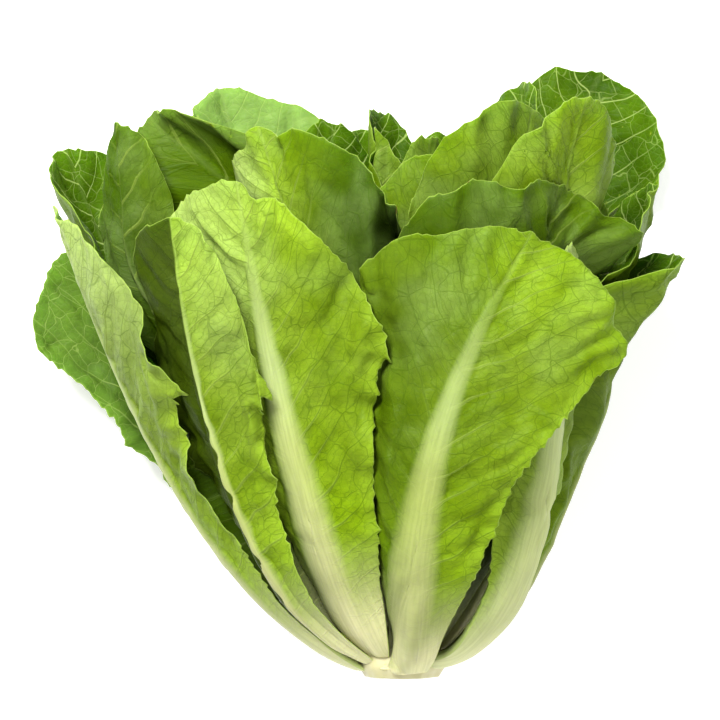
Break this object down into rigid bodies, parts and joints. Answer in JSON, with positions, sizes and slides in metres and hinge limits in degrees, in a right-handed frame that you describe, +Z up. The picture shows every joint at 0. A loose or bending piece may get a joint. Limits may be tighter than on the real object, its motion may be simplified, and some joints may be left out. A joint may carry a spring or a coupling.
{
  "type": "romaine lettuce head",
  "caption": "Open head of romaine lettuce lying on its back leaves, its ruffled leaves each a separate piece fanning out from a short cut stem.",
  "frame": {"origin": "centre of the head's bounding box in plan, on the surface it lies on", "axes": "+Z up from the surface, through the front leaves; +Y along the head from the cut stem to the leaf tips; +X to the head's right as its front is looked down on with the tips at the top"},
  "size_m": [0.2986, 0.2818, 0.1447],
  "materials": {
    "leaf_outer": "fresh light green leaf, waxy sheen, pale midrib",
    "leaf_inner": "fresh darker green leaf, waxy sheen",
    "stem": "moist cream cut stem"
  },
  "bodies": {
    "root": {"leaf_left": "leaf_outer", "leaf_left_behind": "leaf_outer", "leaf_front_folded": "leaf_outer", "leaf_front_left": "leaf_outer", "leaf_front_right": "leaf_outer", "leaf_low_right": "leaf_outer", "leaf_back_right": "leaf_outer", "leaf_back_left": "leaf_outer", "leaf_back_middle": "leaf_outer", "leaf_right": "leaf_outer", "leaf_second_side": "leaf_outer", "leaf_tall_right": "leaf_outer", "leaf_second_right": "leaf_outer", "leaf_second_upright": "leaf_outer", "leaf_second_left": "leaf_outer", "leaf_second_middle": "leaf_outer", "leaf_second_dark": "leaf_outer", "leaf_third_right": "leaf_inner", "leaf_tall_left": "leaf_inner", "leaf_third_inner": "leaf_inner", "leaf_tall_back": "leaf_inner", "leaf_third_middle": "leaf_inner", "leaf_tip_right": "leaf_inner", "leaf_tip_left": "leaf_inner", "leaf_tip_back": "leaf_inner", "leaf_heart_back": "leaf_inner", "leaf_heart_right": "leaf_inner", "leaf_heart_front": "leaf_inner", "stem": "stem"}
  },
  "joints": []
}
